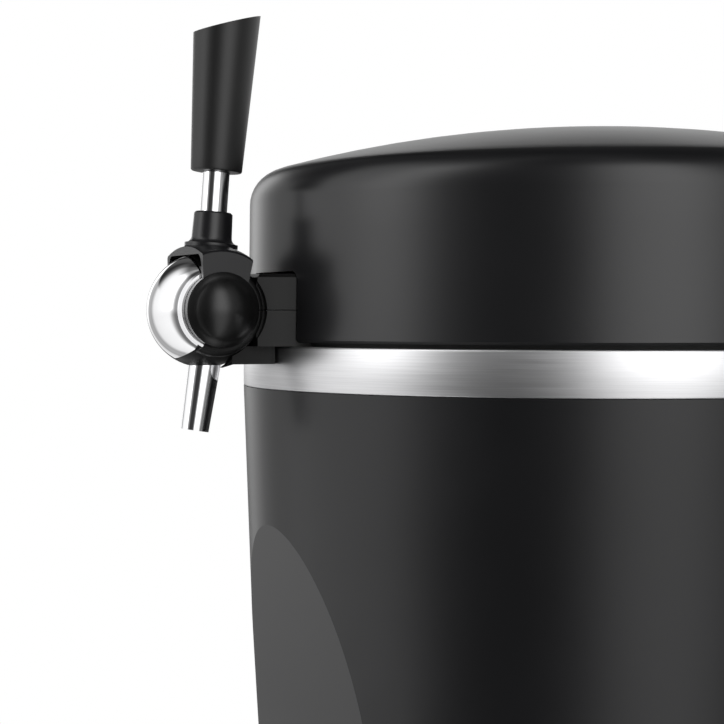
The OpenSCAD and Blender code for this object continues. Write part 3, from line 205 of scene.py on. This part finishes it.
# Outer shell, base plate, tray, deck ring and rear panels: satin black moulded plastic
# with a very fine spark-eroded grain and a little unevenness in its gloss.
def satin_plastic(name, colour, roughness, grain=0.00004, grain_size=0.0006, specular=0.5, clouds=0.15):
    darker, lighter = ([c * (1 + change) for c in colour] + [1] for change in (-clouds, clouds))
    made = bpy.data.materials.new(name)
    made.use_nodes = True
    made.node_tree.nodes.clear()
    node = Link(made.node_tree)
    where = node.add("ShaderNodeTexCoord", out=3)
    cloud = node.add("ShaderNodeTexNoise", inputs={"Vector": where, "Scale": 14.0, "Detail": 3.0})
    fine = node.add("ShaderNodeTexNoise", inputs={"Vector": where, "Scale": 1 / grain_size, "Detail": 2.0})
    bump = node.add("ShaderNodeBump", inputs={"Height": fine, "Strength": 0.35, "Distance": grain})
    shade = cloud.ramp(0.3, 0.7).mix(darker, lighter)
    shader = node.add("ShaderNodeBsdfPrincipled", inputs={
        "Base Color": shade, "Roughness": roughness + 0.05 * (cloud - 0.5), "Specular IOR Level": specular,
        "Normal": bump})
    node.add("ShaderNodeOutputMaterial", inputs={"Surface": shader})
    return made


# A CAD node gets its finish, and where a bevel width is given its edges are broken with a small bevel that
# catches the light.
# Its tessellated faces are shaded smooth up to the edge angle.
def finish_node(material, *names, bevel=0.0, edge=30.0):
    for name in names:
        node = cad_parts[name]
        node.material_slots[0].material = material
        shade = node.modifiers.new("shade", "NODES")
        shade.node_group = bpy.data.node_groups.get(f"smooth_{edge:.0f}") or smooth_shading(edge)
        if bevel:
            round_off = node.modifiers.new("round_off", "BEVEL")
            round_off.width = bevel
            round_off.segments = 3
            round_off.limit_method = "ANGLE"
            round_off.angle_limit = math.radians(edge)
            round_off.use_clamp_overlap = False
            round_off.harden_normals = True


def smooth_shading(edge):
    group = bpy.data.node_groups.new(f"smooth_{edge:.0f}", "GeometryNodeTree")
    group.interface.new_socket("Geometry", in_out="INPUT", socket_type="NodeSocketGeometry")
    group.interface.new_socket("Geometry", in_out="OUTPUT", socket_type="NodeSocketGeometry")
    node = Link(group)
    node.add("NodeGroupOutput", inputs={0: shade_by_angle(node.add("NodeGroupInput"), edge)})
    return group


def shade_by_angle(shape, edge):
    shape = shape.add("GeometryNodeMergeByDistance", inputs={"Geometry": shape, "Distance": 2e-6})
    turned = shape.add("GeometryNodeInputMeshEdgeAngle")
    sharp = shape.maths("GREATER_THAN", turned, math.radians(edge))
    return shape.add("GeometryNodeSetMeshNormal", {"mode": "SHARPNESS"},
                     {"Mesh": shape, "Remove Custom": True, "Edge Sharpness": sharp, "Face Sharpness": False})


shell_plastic = satin_plastic("shell_plastic", (0.008, 0.008, 0.009), 0.32, specular=0.42)
finish_node(shell_plastic, "outer_shell", edge=12)
finish_node(shell_plastic, "base_plate", "drip_tray", "chamber_rim", "service_panel", "rear_grille", bevel=0.0004)


# Trim band and drip grille: stainless steel, brushed along the band and along the grille's width.
# Fine streaks follow the brushing and change the roughness and the height a little.
def brushed_metal(name, colour, roughness, stretch, streak=0.00001):
    darker = [c * 0.92 for c in colour] + [1]
    lighter = [min(1, c * 1.06) for c in colour] + [1]
    made = bpy.data.materials.new(name)
    made.use_nodes = True
    made.node_tree.nodes.clear()
    node = Link(made.node_tree)
    where = node.add("ShaderNodeTexCoord", out=3)
    stretched = node.add("ShaderNodeMapping", inputs={"Vector": where, "Scale": stretch})
    streaks = node.add("ShaderNodeTexNoise", inputs={"Vector": stretched, "Scale": 1.0, "Detail": 4.0})
    bump = node.add("ShaderNodeBump", inputs={"Height": streaks, "Strength": 0.4, "Distance": streak})
    shade = streaks.ramp(0.25, 0.75).mix(darker, lighter)
    shader = node.add("ShaderNodeBsdfPrincipled", inputs={
        "Base Color": shade, "Metallic": 1.0, "Roughness": roughness + 0.12 * (streaks - 0.5), "Normal": bump})
    node.add("ShaderNodeOutputMaterial", inputs={"Surface": shader})
    return made


finish_node(brushed_metal("band_steel", (0.70, 0.70, 0.71), 0.36, (30, 30, 2600)), "trim_band")
finish_node(brushed_metal("grille_steel", (0.74, 0.74, 0.75), 0.40, (60, 2400, 60)), "drip_grille")

# Feet, seals and the pad under the keg: matt black rubber.
rubber = satin_plastic("rubber", (0.02, 0.02, 0.02), 0.6, grain=0.0001, grain_size=0.001)
finish_node(rubber, "feet", "keg_pad", "lid_seal", "plug_seals", "spout_seal", "coupler_seal")

# Hinge pin and power supply can: zinc-plated steel.
screw_steel = brushed_metal("screw_steel", (0.50, 0.50, 0.51), 0.32, (900, 900, 900))
finish_node(screw_steel, "hinge_pin", "power_supply")


# Screws of the base, the tap's arm and the fan: zinc-plated steel with a pan head and a cross recess.
# Geometry Nodes make one screw from its sizes and set it on every place that the CAD node gives.
def cross_head_screw():
    group = bpy.data.node_groups.new("cross_head_screw", "GeometryNodeTree")
    socket = group.interface.new_socket
    socket("Places", in_out="INPUT", socket_type="NodeSocketGeometry")
    for name in ("Head Radius", "Head Height", "Shank Radius", "Shank Length", "Recess Width"):
        socket(name, in_out="INPUT", socket_type="NodeSocketFloat")
    socket("Facing", in_out="INPUT", socket_type="NodeSocketVector")
    socket("Finish", in_out="INPUT", socket_type="NodeSocketMaterial")
    socket("Screws", in_out="OUTPUT", socket_type="NodeSocketGeometry")
    head_taper = 0.8
    recess_length_share = 1.15
    recess_height_share = 1.3
    node = Link(group)
    given = {out.name: Link(group, out) for out in node.add("NodeGroupInput").socket.node.outputs}
    head_r, head_h = given["Head Radius"], given["Head Height"]
    head = node.add("GeometryNodeMeshCone", inputs={
        "Vertices": 40, "Radius Bottom": head_r, "Radius Top": head_r * head_taper, "Depth": head_h})
    top = node.add("ShaderNodeCombineXYZ", inputs={"Z": head_h})
    recess = []
    for long, wide in (("X", "Y"), ("Y", "X")):
        size = node.add("ShaderNodeCombineXYZ", inputs={
            long: head_r * recess_length_share, wide: given["Recess Width"],
            "Z": head_h * recess_height_share})
        slot = node.add("GeometryNodeMeshCube", inputs={"Size": size})
        recess.append(node.add("GeometryNodeTransform", inputs={"Geometry": slot, "Translation": top}))
    head = node.add("GeometryNodeMeshBoolean", {"operation": "DIFFERENCE"}, {"Mesh 1": head, "Mesh 2": recess})
    shank = node.add("GeometryNodeMeshCylinder", inputs={
        "Vertices": 24, "Radius": given["Shank Radius"], "Depth": given["Shank Length"]})
    down = node.add("ShaderNodeCombineXYZ", inputs={"Z": given["Shank Length"] * -0.5})
    shank = node.add("GeometryNodeTransform", inputs={"Geometry": shank, "Translation": down})
    screw = node.add("GeometryNodeJoinGeometry", inputs={"Geometry": [head, shank]})
    facing = node.add("FunctionNodeEulerToRotation", inputs={"Euler": given["Facing"]})
    screws = node.add("GeometryNodeInstanceOnPoints", inputs={
        "Points": given["Places"], "Instance": screw, "Rotation": facing})
    screws = node.add("GeometryNodeRealizeInstances", inputs={"Geometry": screws})
    screws = shade_by_angle(screws, 35)
    screws = node.add("GeometryNodeSetMaterial", inputs={"Geometry": screws, "Material": given["Finish"]})
    node.add("NodeGroupOutput", inputs={0: screws})
    return group


# The screws' places come from the CAD node: vertices less than a head's width apart belong to one screw.
def set_screws(name, axis, sign, facing, tree, sizes):
    across = [i for i in range(3) if i != axis]
    reach = 2.4 * sizes["Head Radius"]
    groups = []
    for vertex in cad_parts[name].data.vertices:
        for group in groups:
            if all(abs(vertex.co[i] - group[0][i]) < reach for i in across):
                group.append(vertex.co)
                break
        else:
            groups.append([vertex.co])
    places = []
    for group in groups:
        place = Vector([(min(v[i] for v in group) + max(v[i] for v in group)) / 2 for i in range(3)])
        place[axis] = sign * (max(sign * v[axis] for v in group) - sizes["Head Height"])
        places.append(place)
    length = max(v[axis] for v in groups[0]) - min(v[axis] for v in groups[0])
    mesh = bpy.data.meshes.new(name + "_places")
    mesh.from_pydata(places, [], [])
    seed = bpy.data.objects.new(name + "_places", mesh)
    bpy.context.scene.collection.objects.link(seed)
    maker = seed.modifiers.new("screws", "NODES")
    maker.node_group = tree
    given = {item.name: item.identifier for item in tree.interface.items_tree if item.in_out == "INPUT"}
    for size, value in {**sizes, "Shank Length": length - sizes["Head Height"], "Facing": facing,
                        "Finish": screw_steel}.items():
        maker[given[size]] = value
    made = bpy.data.meshes.new_from_object(seed.evaluated_get(bpy.context.evaluated_depsgraph_get()))
    piece = bpy.data.objects.new(name + "_crossed", made)
    bpy.context.scene.collection.objects.link(piece)
    bpy.data.objects.remove(seed)
    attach(piece, "housing")
    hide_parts(name)


screw_tree = cross_head_screw()
screw_sizes = {"Head Radius": 0.003, "Head Height": 0.0018, "Shank Radius": 0.0015, "Recess Width": 0.0009}
set_screws("base_screws", 2, -1, (math.pi, 0, 0), screw_tree, screw_sizes)
set_screws("arm_screws", 2, 1, (0, 0, 0), screw_tree, screw_sizes)
set_screws("fan_screws", 1, 1, (-math.pi / 2, 0, 0), screw_tree, screw_sizes)

# Keg chamber: drawn aluminium with faint rings. Cold block and heat sink: extruded aluminium.
finish_node(brushed_metal("chamber_aluminium", (0.72, 0.73, 0.74), 0.34, (40, 40, 900)), "keg_chamber")
finish_node(brushed_metal("sink_aluminium", (0.55, 0.56, 0.58), 0.4, (300, 300, 20)), "heat_sink", "cold_block")

# Foam, partition, liner and board: the pieces inside. Their light colours are even.
finish_node(satin_plastic("foam", (0.78, 0.74, 0.60), 0.8, grain=0.0006, grain_size=0.002, clouds=0.02),
            "chamber_foam", "lid_foam")
finish_node(satin_plastic("inner_plastic", (0.70, 0.70, 0.68), 0.4, clouds=0.02), "rear_partition", "lid_liner")
finish_node(satin_plastic("ceramic", (0.82, 0.82, 0.80), 0.5, clouds=0.02), "cooling_module")
finish_node(satin_plastic("board_green", (0.02, 0.12, 0.05), 0.3, clouds=0.02), "control_board")
finish_node(satin_plastic("valve_plastic", (0.72, 0.71, 0.66), 0.4, clouds=0.02),
            "valve_body", "valve_plug", "keg_coupler")
finish_node(satin_plastic("tube_clear", (0.62, 0.68, 0.70), 0.25, clouds=0.02), "beer_tube")
finish_node(brushed_metal("pin_brass", (0.75, 0.68, 0.5), 0.25, (200, 20, 200)), "inlet_pins")

# Lid and hinge: the same satin black plastic with a slightly glossier skin than the drum's.
lid_plastic = satin_plastic("lid_plastic", (0.010, 0.010, 0.011), 0.29)
finish_node(lid_plastic, "lid_shell", edge=12)
finish_node(lid_plastic, "lid_hinge_leaf", "hinge_bracket", bevel=0.0004)

# Tap: black mouldings. The lever's yoke is a little glossier than the arm and the head's rear shells.
# The handle and the side caps are satin, so that their highlights stay soft.
tap_plastic = satin_plastic("tap_plastic", (0.008, 0.008, 0.009), 0.30)
finish_node(tap_plastic, "lever_yoke")
finish_node(satin_plastic("arm_plastic", (0.006, 0.006, 0.006), 0.36, specular=0.2), "tap_upper_shell",
            "tap_lower_shell", "tap_support")
finish_node(tap_plastic, "fan_frame", "fan_rotor", "mains_inlet", "switch_frame", bevel=0.0003)
finish_node(satin_plastic("handle_plastic", (0.008, 0.008, 0.008), 0.42), "lever_handle")
finish_node(satin_plastic("gloss_black", (0.006, 0.006, 0.006), 0.31), "side_caps", "switch_rocker")


# Tap's front shell, lever stem and spout: bright chrome, polished until only a faint haze is left.
def polished_chrome(name, colour, roughness):
    made = bpy.data.materials.new(name)
    made.use_nodes = True
    made.node_tree.nodes.clear()
    node = Link(made.node_tree)
    where = node.add("ShaderNodeTexCoord", out=3)
    haze = node.add("ShaderNodeTexNoise", inputs={"Vector": where, "Scale": 180.0, "Detail": 3.0})
    shade = haze.ramp(0.3, 0.7).mix([c * 0.97 for c in colour] + [1], [*colour, 1])
    shader = node.add("ShaderNodeBsdfPrincipled", inputs={
        "Base Color": shade, "Metallic": 1.0, "Roughness": roughness + 0.03 * haze.ramp(0.5, 0.8)})
    node.add("ShaderNodeOutputMaterial", inputs={"Surface": shader})
    return made


finish_node(polished_chrome("tap_chrome", (0.90, 0.90, 0.91), 0.03), "tap_front_shell", "lever_stem", "spout")
